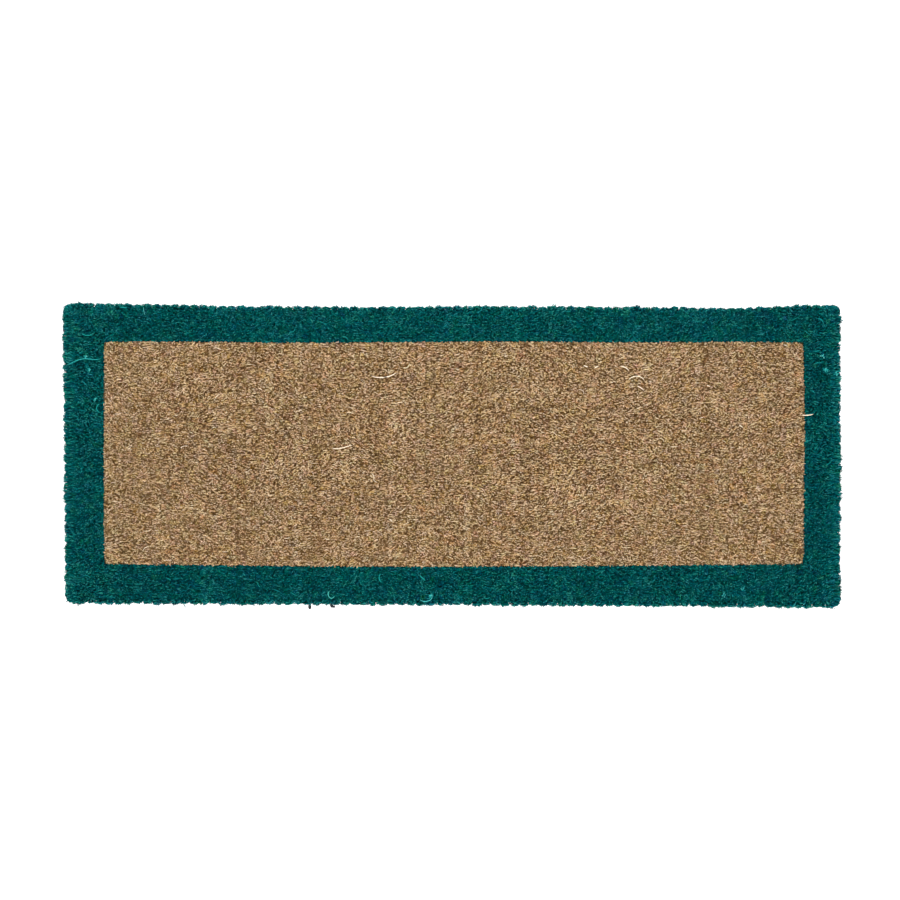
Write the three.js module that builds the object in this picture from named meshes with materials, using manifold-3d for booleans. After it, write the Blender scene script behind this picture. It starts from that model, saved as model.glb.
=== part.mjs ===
// A handloom-woven coir door mat, in millimetres, +Z up. X runs along the mat, Y across it, and the
// origin is under the middle of the mat, on the floor. Stout yarns (the warp chains) run lengthwise
// and rest on the floor, one weft yarn is laid back and forth across them, and a dense brush of fibre
// tufts stands on that ground in rows: natural in the middle field, dyed in the border. Four plaited
// bindings, each sewn on with a twine, close the edges under the overhanging brush.
import * as THREE from "three";
import * as BufferGeometryUtils from "three/addons/utils/BufferGeometryUtils.js";
import Module from "manifold-3d";

// ---- driving dimensions ----
const MAT_LENGTH = 1190;
const MAT_WIDTH = 457;
const MAT_HEIGHT = 34;
const HALF_LENGTH = MAT_LENGTH / 2;
const HALF_WIDTH = MAT_WIDTH / 2;
const CORNER_RADIUS = 16; // the brush is worn round at the mat's corners
const BORDER = { left: 60, right: 56, front: 60, back: 54.5 }; // dyed strips, seen from above
const GAP = 0.3; // clearance between neighbours that touch
const CUT_MARGIN = 5; // how far a cutting solid reaches past what it cuts

const ROW_COUNT = 82; // rows of tufts, side by side along X
const ROW_GROOVE = 3; // depth of the furrow between two rows
const ROW_CREST = 9; // flat top of a row, along X

const OVERHANG = 7; // how far the brush reaches past the bindings
const BRAID_WIDTH = 13;
const YARN_HEIGHT = 4.5; // warp chains and weft alike, flattened by the beat-up
const YARN_BEVEL = 1.2;
const BRAID_BEVEL = 2.5;
const WARP_WIDTH = 7;
const WARP_COUNT = 28;
const WEFT_WIDTH = 5;
const SEAM_TWINE = 2; // thickness of the sewing twine
const SEAM_RISE = 2.6; // the twine's thickness measured straight up, since it runs at a slope
const STITCH = 7.5; // half a zigzag of the seam, along an edge
const SEAM_CLEARANCE = 0.6; // the seam keeps off the floor and the brush by this much

// ---- sizes that follow from them ----
const BRAID_OUT_X = HALF_LENGTH - OVERHANG;
const BRAID_OUT_Y = HALF_WIDTH - OVERHANG;
const BRAID_HEIGHT = 2 * YARN_HEIGHT + GAP;
const PILE_BOTTOM = BRAID_HEIGHT + GAP;
const SEAM_MID_X = BRAID_OUT_X - BRAID_WIDTH - GAP - SEAM_TWINE / 2;
const SEAM_MID_Y = BRAID_OUT_Y - BRAID_WIDTH - GAP - SEAM_TWINE / 2;
const GROUND_X = SEAM_MID_X - SEAM_TWINE / 2 - GAP; // half size of the woven ground
const GROUND_Y = SEAM_MID_Y - SEAM_TWINE / 2 - GAP;
const WARP_PITCH = (2 * GROUND_Y - WARP_WIDTH) / (WARP_COUNT - 1);
const ROW_PITCH = MAT_LENGTH / ROW_COUNT;
const FURROWS = []; // the X of the furrow, and the weft pick, between each two rows
for (let row = 1; row < ROW_COUNT; row++) FURROWS.push(-HALF_LENGTH + row * ROW_PITCH);
const FIELD = {
  left: -HALF_LENGTH + BORDER.left,
  right: HALF_LENGTH - BORDER.right,
  front: -HALF_WIDTH + BORDER.front,
  back: HALF_WIDTH - BORDER.back,
};

// ---- materials: colour, roughness and metalness ----
const NATURAL_COIR = { color: 0x977b5a, roughness: 0.95, metalness: 0 };
const DYED_COIR = { color: 0x084a4a, roughness: 0.95, metalness: 0 };
const GROUND_YARN = { color: 0x6f5334, roughness: 0.95, metalness: 0 };
const TWINE = { color: 0x8a6d48, roughness: 0.9, metalness: 0 };

const wasm = await Module();
wasm.setup();

const mat = new THREE.Group();
mat.name = "door_mat";

function addPart(name, geometry, look, parent = mat) {
  const mesh = new THREE.Mesh(geometry, new THREE.MeshStandardMaterial(look));
  mesh.name = name;
  parent.add(mesh);
  return mesh;
}

// ---- solids and shapes ----
function toSolid(geometry) {
  const bare = geometry.clone();
  bare.deleteAttribute("normal");
  bare.deleteAttribute("uv");
  const merged = BufferGeometryUtils.mergeVertices(bare);
  return new wasm.Manifold(
    new wasm.Mesh({
      numProp: 3,
      vertProperties: new Float32Array(merged.attributes.position.array),
      triVerts: new Uint32Array(merged.index.array),
    })
  );
}

function toGeometry(solid) {
  const mesh = solid.getMesh();
  const geometry = new THREE.BufferGeometry();
  geometry.setAttribute("position", new THREE.BufferAttribute(mesh.vertProperties, 3));
  geometry.setIndex(new THREE.BufferAttribute(mesh.triVerts, 1));
  return geometry;
}

function shapeOf(points) {
  return new THREE.Shape(points.map(([x, y]) => new THREE.Vector2(x, y)));
}

function extrudeAlongZ(shape, depth, bottom, curveSegments = 4) {
  const geometry = new THREE.ExtrudeGeometry(shape, { depth, bevelEnabled: false, curveSegments });
  geometry.translate(0, 0, bottom);
  return geometry;
}

// A profile drawn in X and Z, extruded along Y from yFrom to yTo.
function extrudeAlongY(points, yFrom, yTo) {
  const options = { depth: yTo - yFrom, bevelEnabled: false };
  const geometry = new THREE.ExtrudeGeometry(shapeOf(points), options);
  geometry.rotateX(Math.PI / 2);
  geometry.translate(0, yTo, 0);
  return geometry;
}

// The flattened section of a yarn or binding, with all its edges bevelled.
function bevelledSection(width, height, bevel) {
  const w = width / 2;
  return shapeOf([
    [-w + bevel, 0],
    [w - bevel, 0],
    [w, bevel],
    [w, height - bevel],
    [w - bevel, height],
    [-w + bevel, height],
    [-w, height - bevel],
    [-w, bevel],
  ]);
}

// A straight bar of that section, its length along X and its middle at the origin.
function straightBar(length, width, height, bevel) {
  const section = bevelledSection(width, height, bevel);
  const geometry = new THREE.ExtrudeGeometry(section, { depth: length, bevelEnabled: false });
  geometry.translate(0, 0, -length / 2);
  geometry.rotateX(Math.PI / 2);
  geometry.rotateZ(Math.PI / 2);
  return geometry;
}

function roundedRectangle(length, width, radius) {
  const x = length / 2;
  const y = width / 2;
  const shape = new THREE.Shape();
  shape.moveTo(-x + radius, -y);
  shape.lineTo(x - radius, -y);
  shape.absarc(x - radius, -y + radius, radius, -Math.PI / 2, 0);
  shape.lineTo(x, y - radius);
  shape.absarc(x - radius, y - radius, radius, 0, Math.PI / 2);
  shape.lineTo(-x + radius, y);
  shape.absarc(-x + radius, y - radius, radius, Math.PI / 2, Math.PI);
  shape.lineTo(-x, -y + radius);
  shape.absarc(-x + radius, -y + radius, radius, Math.PI, 1.5 * Math.PI);
  return shape;
}

// ---- the brush: rows of tufts across the mat, parted by shallow furrows ----
function rowProfile(xFrom, xTo) {
  const shoulder = (ROW_PITCH - ROW_CREST) / 2;
  const points = [
    [xFrom, PILE_BOTTOM],
    [xTo, PILE_BOTTOM],
    [xTo, MAT_HEIGHT],
  ];
  for (const furrow of FURROWS.toReversed()) {
    if (furrow - shoulder > xFrom && furrow + shoulder < xTo) {
      points.push([furrow + shoulder, MAT_HEIGHT]);
      points.push([furrow, MAT_HEIGHT - ROW_GROOVE]);
      points.push([furrow - shoulder, MAT_HEIGHT]);
    }
  }
  points.push([xFrom, MAT_HEIGHT]);
  return points;
}

function addPile(name, look, xFrom, xTo, yFrom, yTo) {
  return addPart(name, extrudeAlongY(rowProfile(xFrom, xTo), yFrom, yTo), look);
}

addPile("field_pile", NATURAL_COIR, FIELD.left, FIELD.right, FIELD.front, FIELD.back);
addPile("border_pile_left", DYED_COIR, -HALF_LENGTH, FIELD.left - GAP, FIELD.front, FIELD.back);
addPile("border_pile_right", DYED_COIR, FIELD.right + GAP, HALF_LENGTH, FIELD.front, FIELD.back);

// The front and back strips start larger than the mat, and its round-cornered outline cuts them.
const outlineShape = roundedRectangle(MAT_LENGTH, MAT_WIDTH, CORNER_RADIUS);
const outline = toSolid(extrudeAlongZ(outlineShape, MAT_HEIGHT + 2 * CUT_MARGIN, -CUT_MARGIN));

function addCornerPile(name, yFrom, yTo) {
  const long = HALF_LENGTH + CUT_MARGIN;
  const pile = addPile(name, DYED_COIR, -long, long, yFrom, yTo);
  pile.geometry = toGeometry(toSolid(pile.geometry).intersect(outline));
}

addCornerPile("border_pile_front", -HALF_WIDTH - CUT_MARGIN, FIELD.front - GAP);
addCornerPile("border_pile_back", FIELD.back + GAP, HALF_WIDTH + CUT_MARGIN);

// ---- the woven ground: warp chains on the floor, one weft yarn laid over them ----
for (let chain = 0; chain < WARP_COUNT; chain++) {
  const name = "warp_chain_" + String(chain + 1).padStart(2, "0");
  const warp = addPart(name, straightBar(2 * GROUND_X, WARP_WIDTH, YARN_HEIGHT, YARN_BEVEL), GROUND_YARN);
  warp.position.y = (chain - (WARP_COUNT - 1) / 2) * WARP_PITCH;
}

// One pick lies in each furrow, and the yarn turns back at alternate edges of the mat. The outline
// runs out along one side of the yarn and home along the other.
function weftShape() {
  const picks = FURROWS.filter((x) => Math.abs(x) + WEFT_WIDTH / 2 < GROUND_X);
  const side = WEFT_WIDTH / 2;
  const turnRadius = ROW_PITCH / 2;
  const turnY = GROUND_Y - turnRadius - side; // centre of each turn
  const last = picks.length - 1;
  const heading = last % 2 === 0 ? 1 : -1; // the last pick runs towards +Y or towards -Y
  const shape = new THREE.Shape();
  shape.moveTo(picks[0] - side, -GROUND_Y);
  for (let i = 0; i < last; i++) {
    const turnX = picks[i] + turnRadius;
    if (i % 2 === 0) shape.absarc(turnX, turnY, turnRadius + side, Math.PI, 0, true);
    else shape.absarc(turnX, -turnY, turnRadius - side, Math.PI, 2 * Math.PI, false);
  }
  shape.lineTo(picks[last] - heading * side, heading * GROUND_Y);
  shape.lineTo(picks[last] + heading * side, heading * GROUND_Y);
  for (let i = last - 1; i >= 0; i--) {
    const turnX = picks[i] + turnRadius;
    if (i % 2 === 0) shape.absarc(turnX, turnY, turnRadius - side, 0, Math.PI, false);
    else shape.absarc(turnX, -turnY, turnRadius + side, 2 * Math.PI, Math.PI, true);
  }
  shape.lineTo(picks[0] + side, -GROUND_Y);
  return shape;
}

addPart("weft_yarn", extrudeAlongZ(weftShape(), YARN_HEIGHT, YARN_HEIGHT + GAP, 2), GROUND_YARN);

// ---- the plaited bindings and the twine that sews each to the ground ----
function braidBar(length) {
  return straightBar(length, BRAID_WIDTH, BRAID_HEIGHT, BRAID_BEVEL);
}

// A zigzag of twine that climbs and falls beside a binding, with its middle at the origin.
function seamZigzag(length) {
  const steps = 2 * Math.floor(length / STITCH / 2);
  const low = SEAM_CLEARANCE;
  const high = BRAID_HEIGHT - SEAM_CLEARANCE;
  const under = [];
  const over = [];
  for (let i = 0; i <= steps; i++) {
    const x = -length / 2 + (i * length) / steps;
    const peak = i % 2 === 1;
    under.push([x, peak ? high - SEAM_RISE : low]);
    over.unshift([x, peak ? high : low + SEAM_RISE]);
  }
  return extrudeAlongY([...under, ...over], -SEAM_TWINE / 2, SEAM_TWINE / 2);
}

const shortBraid = 2 * (BRAID_OUT_Y - BRAID_WIDTH - GAP); // it ends against the two long ones
const longSeam = 2 * (SEAM_MID_X + SEAM_TWINE / 2);
const shortSeam = 2 * (SEAM_MID_Y - SEAM_TWINE / 2 - GAP);

// An edge is built along X and turned about the mat's middle to where it belongs.
function addEdge(side, turn, braidOut, braidLength, seamMid, seamLength) {
  const edge = new THREE.Group();
  edge.rotation.z = turn;
  mat.add(edge);
  const braid = addPart("edge_braid_" + side, braidBar(braidLength), GROUND_YARN, edge);
  const seam = addPart("edge_seam_" + side, seamZigzag(seamLength), TWINE, edge);
  braid.position.y = braidOut - BRAID_WIDTH / 2;
  seam.position.y = seamMid;
}

const QUARTER = Math.PI / 2;
addEdge("back", 0, BRAID_OUT_Y, 2 * BRAID_OUT_X, SEAM_MID_Y, longSeam);
addEdge("left", QUARTER, BRAID_OUT_X, shortBraid, SEAM_MID_X, shortSeam);
addEdge("front", 2 * QUARTER, BRAID_OUT_Y, 2 * BRAID_OUT_X, SEAM_MID_Y, longSeam);
addEdge("right", 3 * QUARTER, BRAID_OUT_X, shortBraid, SEAM_MID_X, shortSeam);

export default mat;
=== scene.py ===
"""A handloom-woven coir door mat: a natural tan brush field in a dyed teal border, on a woven ground.

The brush is real strands. They stand in tufts, one tuft to each cell of a grid of rows and columns, and
loops of fibre carry each tuft round a warp chain of the ground. The outer tufts lean out over the
plaited bindings, so their round tops give the mat its scalloped outline. Everything is in metres, in
the CAD frame.
"""
import math

import bpy
import numpy as np
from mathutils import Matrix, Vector


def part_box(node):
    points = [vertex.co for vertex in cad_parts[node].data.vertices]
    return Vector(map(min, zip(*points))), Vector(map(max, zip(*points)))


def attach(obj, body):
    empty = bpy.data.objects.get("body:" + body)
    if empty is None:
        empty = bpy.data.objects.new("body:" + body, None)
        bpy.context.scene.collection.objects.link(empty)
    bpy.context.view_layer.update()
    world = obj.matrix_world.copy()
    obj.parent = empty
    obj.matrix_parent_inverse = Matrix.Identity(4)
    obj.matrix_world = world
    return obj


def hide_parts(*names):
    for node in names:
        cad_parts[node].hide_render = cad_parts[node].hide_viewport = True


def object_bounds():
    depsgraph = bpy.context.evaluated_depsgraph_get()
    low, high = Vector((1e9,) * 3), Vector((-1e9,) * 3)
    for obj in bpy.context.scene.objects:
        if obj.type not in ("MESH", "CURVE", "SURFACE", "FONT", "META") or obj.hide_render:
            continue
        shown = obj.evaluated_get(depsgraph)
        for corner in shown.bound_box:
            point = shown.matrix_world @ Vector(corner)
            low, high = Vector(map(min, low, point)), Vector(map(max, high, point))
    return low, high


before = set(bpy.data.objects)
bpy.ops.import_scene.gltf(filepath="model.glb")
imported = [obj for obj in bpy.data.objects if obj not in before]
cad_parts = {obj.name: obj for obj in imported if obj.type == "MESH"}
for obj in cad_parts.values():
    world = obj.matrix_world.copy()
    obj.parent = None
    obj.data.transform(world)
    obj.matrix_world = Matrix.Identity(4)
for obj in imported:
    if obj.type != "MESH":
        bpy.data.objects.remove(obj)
cad_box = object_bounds()

MM = 0.001

# ---- places, from the frame ----
MAT_HIGH = Vector(cad_box[1])
FIELD_LOW, FIELD_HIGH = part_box("field_pile")
CHAIN_LOW, CHAIN_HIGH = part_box("warp_chain_01")
WEFT_LOW, WEFT_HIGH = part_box("weft_yarn")
CHAIN_NAMES = sorted(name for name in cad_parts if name.startswith("warp_chain"))
MAT_HALF = np.array(MAT_HIGH[:2])  # half the mat's length and width
FIELD_BOX = (np.array(FIELD_LOW[:2]), np.array(FIELD_HIGH[:2]))
LEVELS = np.stack([-MAT_HALF, *FIELD_BOX, MAT_HALF])  # where the borders and the field begin and end
X_LEVELS, Y_LEVELS = LEVELS.T
MAT_TOP = MAT_HIGH.z
PILE_BOTTOM = FIELD_LOW.z
GROUND_TOP = WEFT_HIGH.z
FAR = 1.0  # well outside the mat

# ---- the brush: its tufts, clumps and strands ----
ROWS = (4, 74, 4)  # rows of tufts across the left border, the field and the right border
COLUMNS = (4, 22, 4)  # tufts of a row across the front border, the field and the back border
CLUMP_GRID = (5, 8)  # clumps of fibre in a tuft, in X and Y
CLUMPS = CLUMP_GRID[0] * CLUMP_GRID[1]
CLUMP_STRANDS = 3
FACE_STRANDS = 75  # more strands that fill the outer face of each outer tuft
CORNER_SHARE = 4  # a corner tuft has this many times as many of them
FIELD_STRIPS = 11  # pieces that the field's brush is cut into
STRAND_SIDES = 3
STRAND_RADIUS = 0.5 * MM
STRAND_TAPER = np.array([0.5, 1.0, 0.85])  # thickness at the root, the bend and the tip
THICKNESS_SPREAD = 0.22

# ---- the brush: where its strands stand and how they lean ----
ROOT_SPREAD = 1.6 * MM  # how far from the middle of its tuft's root a strand springs
ROOT_SINK = 3 * MM  # how far below the pile it springs
ROOT_PULL = np.array([0.35, 0.1])  # how far a bend may be drawn towards the root, in X and Y
BEND_DEPTH = (2 * MM, 6 * MM)  # how far below its tip a strand bends
TIP_STRAY = np.array([0.5, 0.3]) * MM  # in X and Y, as are the next two
TUFT_LEAN = np.array([1.6, 0.9]) * MM
STRAND_LEAN = np.array([0.6, 0.3]) * MM
CLUMP_LEAN = 2.3 * MM  # along the way the fibre lies
CLUMP_SPLAY = 0.5 * MM  # and across it
FACE_LEAN = 1.6 * MM  # of the strands on the outer faces, to any side
FACE_OVERHANG = 1.5 * MM  # and how much more they lean outwards
TIP_RISE = 0.6 * MM  # how far the highest tips stand over the mat's top
TIP_DIP = 0.5 * MM  # how far most of the others stay below those
DEEPEST_TIP = 5 * MM
ROW_DIP_SPREAD = 0.25 * MM
FURROW = 0.7 * MM  # how much lower the tips are between two rows
DARK_DIP = (0.2 * MM, 1.4 * MM)  # how much lower dark clumps lie

# ---- the brush: its tones, which run from 0, dark, to 1, pale ----
TONE = 0.49
FACE_SHADE_TONE = 0.17  # painted shade: the outer faces, seen from the side, are given this darker tone for the pile's shaded flank
TUFT_TONE_SPREAD = 0.02
ROW_TONE_SPREAD = 0.022
CLUMP_TONE_SPREAD = 0.13
STRAND_TONE_SPREAD = 0.1
DARK_SHARE = 0.17  # part of the clumps that are dark
DARKENING = (0.35, 0.85)
PALE_SHARE = 0.012  # part of the strands that are pale
PALING = (0.25, 0.5)
PAINTED_SHADE_DEPTH = 5 * MM  # painted shade: fibre this far down is painted as dark as it gets
PAINTED_SHADE = 0.5
EDGE_HIGHLIGHT = 0.22  # painted highlight: how much lighter the fibre is painted at the very outline
EDGE_HIGHLIGHT_FADE = 3 * MM

# ---- the brush: its outline and the line between its two colours ----
BULGE = 2.8 * MM  # how far the middle of an outer tuft swells outwards
BULGE_SPREAD = 1.8 * MM
LEAST_BULGE = 1.2 * MM
SCALLOP = 3.2 * MM  # how far an outer tuft's round top falls back at its two ends
OUTLINE_SCALLOP = 2.4 * MM  # the same for the line that no fibre crosses
CORNER_RADIUS = 10 * MM  # of the mat and of its field
SPILL = 0.8 * MM  # how far tips stray into the next cell
LINE_MIX = 1.1 * MM  # how far fibres of the two colours cross the line between border and field
SEED = 20

rng = np.random.default_rng(SEED)


def joined(*groups):
    """Dictionaries of arrays, end to end."""
    return {key: np.concatenate([group[key] for group in groups]) for key in groups[0]}


# ---- meshes made of many alike pieces ----
def tiled_mesh(name, points, polygons, uv, attributes):
    """A mesh of copies with the same faces. points is (copies, points each, 3), polygons lists the local
    indices of each face, uv is (copies, face corners each, 2), and attributes maps a name to values of
    (copies, points each)."""
    copies, each = points.shape[:2]
    sizes = [len(polygon) for polygon in polygons]
    local = np.concatenate(polygons)
    starts = np.cumsum(sizes) - sizes
    loops = (local[None, :] + each * np.arange(copies)[:, None]).ravel().astype(np.int32)
    loop_starts = (starts[None, :] + len(local) * np.arange(copies)[:, None]).ravel().astype(np.int32)
    mesh = bpy.data.meshes.new(name)
    mesh.vertices.add(copies * each)
    mesh.vertices.foreach_set("co", points.astype(np.float32).ravel())
    mesh.loops.add(len(loops))
    mesh.loops.foreach_set("vertex_index", loops)
    mesh.polygons.add(len(loop_starts))
    mesh.polygons.foreach_set("loop_start", loop_starts)
    mesh.polygons.foreach_set("use_smooth", np.full(len(loop_starts), True))
    layer = mesh.uv_layers.new(name="OFBake")
    layer.data.foreach_set("uv", uv.astype(np.float32).ravel())
    for key, values in attributes.items():
        attribute = mesh.attributes.new(key, "FLOAT", "POINT")
        attribute.data.foreach_set("value", values.astype(np.float32).ravel())
    mesh.update(calc_edges=True)
    mesh.validate()
    return mesh


def unit(vectors):
    """The vectors at length 1."""
    return vectors / np.maximum(np.linalg.norm(vectors, axis=-1, keepdims=True), 1e-12)


def tangents(paths):
    """The direction of each path at each of its points."""
    ahead = np.concatenate([paths[:, 1:], paths[:, -1:]], axis=1)
    behind = np.concatenate([paths[:, :1], paths[:, :-1]], axis=1)
    return unit(ahead - behind)


def rings(paths, radii, sides, turn, up, flatten=1.0, lobes=0.0):
    """Sections along many paths: (paths, points, sides, 3). up is a direction that no path follows.
    flatten squeezes a section along up, and lobes gives it two bulges that turn with it."""
    along = tangents(paths)
    across = unit(np.cross(along, np.broadcast_to(up, along.shape)))
    over = np.cross(along, across)
    corner = 2 * math.pi * np.arange(sides) / sides
    angle = turn[..., None] + corner
    reach = (radii[..., None] * (1 + lobes * np.cos(2 * corner)))[..., None]
    return paths[:, :, None] + reach * (
        np.cos(angle)[..., None] * across[:, :, None]
        + flatten * np.sin(angle)[..., None] * over[:, :, None]
    )


def tube_polygons(steps, sides, pointed):
    """Faces of a closed tube. A pointed tube starts at one point, and any other at a flat cap."""
    first = 1 if pointed else 0
    faces = []
    beside = [(side, (side + 1) % sides) for side in range(sides)]
    if pointed:
        faces += [(0, 1 + far, 1 + near) for near, far in beside]
    else:
        faces.append(tuple(reversed(range(sides))))
    for step in range(steps - 1 - first):
        here = first + step * sides
        there = here + sides
        faces += [(here + near, here + far, there + far, there + near) for near, far in beside]
    last = first + (steps - 1 - first) * sides
    faces.append(tuple(range(last, last + sides)))
    return faces


CELL_INSET = 0.16  # part of a UV cell that stays empty on each side
BAND_INSET = 0.06  # the same for a band


def in_cells(place, count):
    """Places in the unit square, put into each of count cells of a grid that fills UV space."""
    columns = math.ceil(math.sqrt(count))
    rows = math.ceil(count / columns)
    index = np.arange(count)
    corner = np.stack([(index % columns) / columns, (index // columns) / rows], axis=-1)
    size = np.array([1 / columns, 1 / rows])
    return corner[:, None] + size * (CELL_INSET + (1 - 2 * CELL_INSET) * place)


def strand_mesh(name, paths, radii, colour):
    """Pointed strands, (strands, points, 3), one UV cell each. colour maps an attribute to its values at
    each point of each strand, (strands, points)."""
    count, steps = paths.shape[:2]
    sides = STRAND_SIDES
    nearly_level = np.array([1, 1, 0.05])  # so that no strand follows its own up direction
    turn = np.broadcast_to(rng.uniform(0, 2 * math.pi, (count, 1)), (count, steps))
    up = unit(rng.normal(size=(count, 1, 3)) * nearly_level)
    section = rings(paths, radii, sides, turn, up)[:, 1:].reshape(count, -1, 3)
    points = np.concatenate([paths[:, :1], section], axis=1)
    share = np.linspace(0, 1, steps)
    u = np.concatenate([[0.5], np.tile(np.arange(sides) / (sides - 1), steps - 1)])
    v = np.concatenate([[0], np.repeat(share[1:], sides)])
    polygons = tube_polygons(steps, sides, pointed=True)
    uv = in_cells(np.stack([u, v], axis=-1), count)[:, np.concatenate(polygons)]
    attributes = {}
    for key, values in colour.items():
        values = np.broadcast_to(values, (count, steps))
        attributes[key] = np.concatenate([values[:, :1], np.repeat(values[:, 1:], sides, axis=1)], axis=1)
    return tiled_mesh(name, points, polygons, uv, attributes)


def tube_mesh(name, paths, radii, sides, tone, flatten=1.0, turn=None, lobes=0.0, folds=1):
    """Long tubes with flat caps, (tubes, points, 3). Each fills its own bands of UV space, one for each
    of its folds."""
    count, steps = paths.shape[:2]
    if turn is None:
        turn = np.zeros((count, steps))
    section = rings(paths, radii, sides, turn, np.array([0.0, 0.0, 1.0]), flatten, lobes)
    points = section.reshape(count, -1, 3)
    polygons = tube_polygons(steps, sides, pointed=False)
    tones = np.broadcast_to(tone[:, None], (count, steps * sides))
    uv = tube_uv(count, steps, sides, folds)
    return tiled_mesh(name, points, polygons, uv, {"tone": tones})


def tube_uv(count, steps, sides, folds):
    """UV of every face corner of count tubes: a cap, each step's faces, and the other cap."""
    per_fold = math.ceil((steps - 1) / folds)
    step = np.arange(steps - 1)
    along = step % per_fold
    u = np.stack([along, along, along + 1, along + 1], axis=-1) / per_fold
    side = np.arange(sides)
    v = np.stack([side, side + 1, side + 1, side], axis=-1) / sides
    faces = np.empty((steps - 1, sides, 4, 2))
    faces[..., 0] = u[:, None]
    faces[..., 1] = (step // per_fold)[:, None, None] + BAND_INSET + (1 - 2 * BAND_INSET) * v[None]
    cap = np.full((sides, 2), 0.5)
    cap[:, 0] = 0
    one = np.concatenate([cap, faces.reshape(-1, 2), cap + np.array([u[-1, -1], folds - 1])])
    one[:, 1] /= folds
    uv = np.repeat(one[None], count, axis=0)
    uv[..., 1] = (uv[..., 1] + np.arange(count)[:, None]) / count
    return uv


def cell_mesh(name, points, steps, sides, tone):
    """Short closed tubes, (tubes, points, 3), each with one UV cell and a tone of its own."""
    count, each = points.shape[:2]
    tones = np.repeat(rng.normal(*tone, (count, 1)), each, axis=1)
    uv = in_cells(tube_uv(1, steps, sides, 1), count)
    return tiled_mesh(name, points, tube_polygons(steps, sides, pointed=False), uv, {"tone": tones})


def add_piece(mesh, material, slot, *nodes):
    """Puts a mesh on the mat's body in place of some CAD nodes."""
    piece = bpy.data.objects.new(mesh.name, mesh)
    bpy.context.scene.collection.objects.link(piece)
    mesh.materials.append(material)
    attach(piece, "root")
    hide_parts(*nodes)


# ---- materials ----
def linear(srgb):
    """An sRGB colour, 0 to 255, as the shader's linear values."""
    parts = [part / 255 for part in srgb]
    curved = [part / 12.92 if part <= 0.04045 else ((part + 0.055) / 1.055) ** 2.4 for part in parts]
    return curved + [1.0]


def attribute_scaled(tree, name, scale, offset):
    """A mesh attribute times scale plus offset."""
    attribute = tree.nodes.new("ShaderNodeAttribute")
    attribute.attribute_name = name
    scaled = tree.nodes.new("ShaderNodeMath")
    scaled.operation = "MULTIPLY_ADD"
    scaled.inputs[1].default_value = scale
    scaled.inputs[2].default_value = offset
    tree.links.new(attribute.outputs["Fac"], scaled.inputs[0])
    return scaled.outputs[0]


def fibre_material(name, ramp, grain=900, mottle=0.5, roughness=0.9, specular=0.15, hue=0.01, purity=0.1):
    """Fibre whose colour runs over a ramp by each strand's own tone, with a fine mottle along it. A
    strand's own hue and purity then turn and deepen that colour a little. Each stop of the ramp is a
    position and an sRGB colour."""
    material = bpy.data.materials.new(name)
    material.use_nodes = True
    tree = material.node_tree
    link = tree.links.new
    shader = tree.nodes["Principled BSDF"]
    shader.inputs["Roughness"].default_value = roughness
    shader.inputs["Specular IOR Level"].default_value = specular
    tone = tree.nodes.new("ShaderNodeAttribute")
    tone.attribute_name = "tone"
    place = tree.nodes.new("ShaderNodeTexCoord")
    noise = tree.nodes.new("ShaderNodeTexNoise")
    noise.inputs["Scale"].default_value = grain
    noise.inputs["Detail"].default_value = 3
    link(place.outputs["Object"], noise.inputs["Vector"])
    spread = tree.nodes.new("ShaderNodeMath")
    spread.operation = "MULTIPLY_ADD"
    spread.inputs[1].default_value = mottle
    link(noise.outputs["Fac"], spread.inputs[0])
    link(tone.outputs["Fac"], spread.inputs[2])
    colour = tree.nodes.new("ShaderNodeValToRGB")
    elements = colour.color_ramp.elements
    while len(elements) < len(ramp):
        elements.new(0.5)
    for element, (position, *srgb) in zip(elements, ramp):
        element.position = position
        element.color = linear(srgb)
    link(spread.outputs[0], colour.inputs["Fac"])
    tint = tree.nodes.new("ShaderNodeHueSaturation")
    link(attribute_scaled(tree, "hue", hue, 0.5), tint.inputs["Hue"])
    link(attribute_scaled(tree, "purity", purity, 1.0), tint.inputs["Saturation"])
    link(colour.outputs["Color"], tint.inputs["Color"])
    link(tint.outputs["Color"], shader.inputs["Base Color"])
    return material


NATURAL = fibre_material(
    "natural_coir",
    [
        (0.0, 36, 19, 5),
        (0.25, 114, 85, 52),
        (0.5, 192, 158, 114),
        (0.75, 214, 182, 138),
        (1.0, 236, 212, 178),
    ],
    grain=600, mottle=0.6, roughness=0.85, hue=0.008, purity=0.07,
)
DYED = fibre_material(
    "dyed_coir",
    [
        (0.0, 0, 56, 59),
        (0.25, 1, 74, 77),
        (0.5, 3, 92, 94),
        (0.75, 9, 108, 109),
        (1.0, 46, 147, 140),
    ],
    grain=600, mottle=0.6, roughness=0.85, specular=0.0, hue=0.02, purity=0.015,
)
PALE_NATURAL = fibre_material(
    "pale_natural_coir",
    [(0.0, 226, 198, 158), (1.0, 255, 242, 216)],
    grain=600, mottle=0.1, roughness=0.8,
)
PALE_DYED = fibre_material(
    "pale_dyed_coir",
    [(0.0, 0, 110, 110), (0.6, 24, 162, 160), (1.0, 104, 216, 210)],
    grain=600, mottle=0.1, roughness=0.8, specular=0.1,
)
DARK_YARN = fibre_material("dark_yarn", [(0.0, 24, 26, 32), (1.0, 70, 72, 78)], mottle=0.6, specular=0.1)
GROUND = fibre_material("ground_yarn", [(0.1, 70, 46, 26), (0.5, 122, 92, 58), (0.9, 160, 130, 92)])
BRAID = fibre_material("edge_braid", [(0.1, 76, 50, 28), (0.5, 130, 98, 62), (0.9, 170, 138, 98)])
TWINE = fibre_material(
    "sewing_twine",
    [(0.1, 104, 80, 52), (0.5, 150, 122, 86), (0.9, 190, 164, 126)],
    roughness=0.85,
)


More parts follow.
